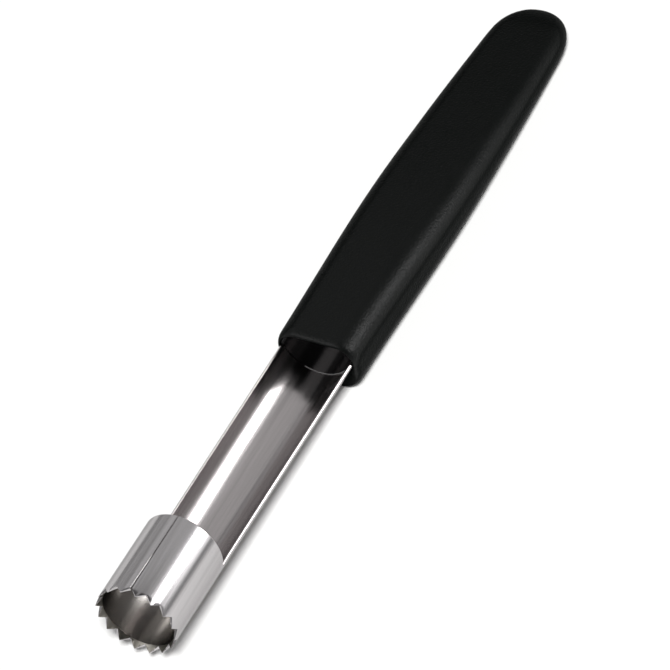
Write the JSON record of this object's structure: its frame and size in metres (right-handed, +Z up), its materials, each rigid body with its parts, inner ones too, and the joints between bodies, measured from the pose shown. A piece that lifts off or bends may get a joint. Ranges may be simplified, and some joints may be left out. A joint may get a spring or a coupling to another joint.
{
  "type": "apple corer",
  "caption": "Apple corer: a toothed steel tube that opens into a trough, held in a black moulded handle with a matte grip over a glossy core.",
  "frame": {"origin": "on the surface the tool lies on, below the middle of its box", "axes": "+X along the tool towards the teeth, +Z up out of the open trough, +Y to the left seen from the handle"},
  "size_m": [0.2146, 0.024, 0.024],
  "materials": {
    "blade_steel": "polished lengthwise",
    "core_plastic": "glossy black",
    "grip_plastic": "matte black, fine moulded grain"
  },
  "bodies": {
    "root": {"corer_blade": "blade_steel", "handle_core": "core_plastic", "handle_grip": "grip_plastic"}
  },
  "joints": []
}
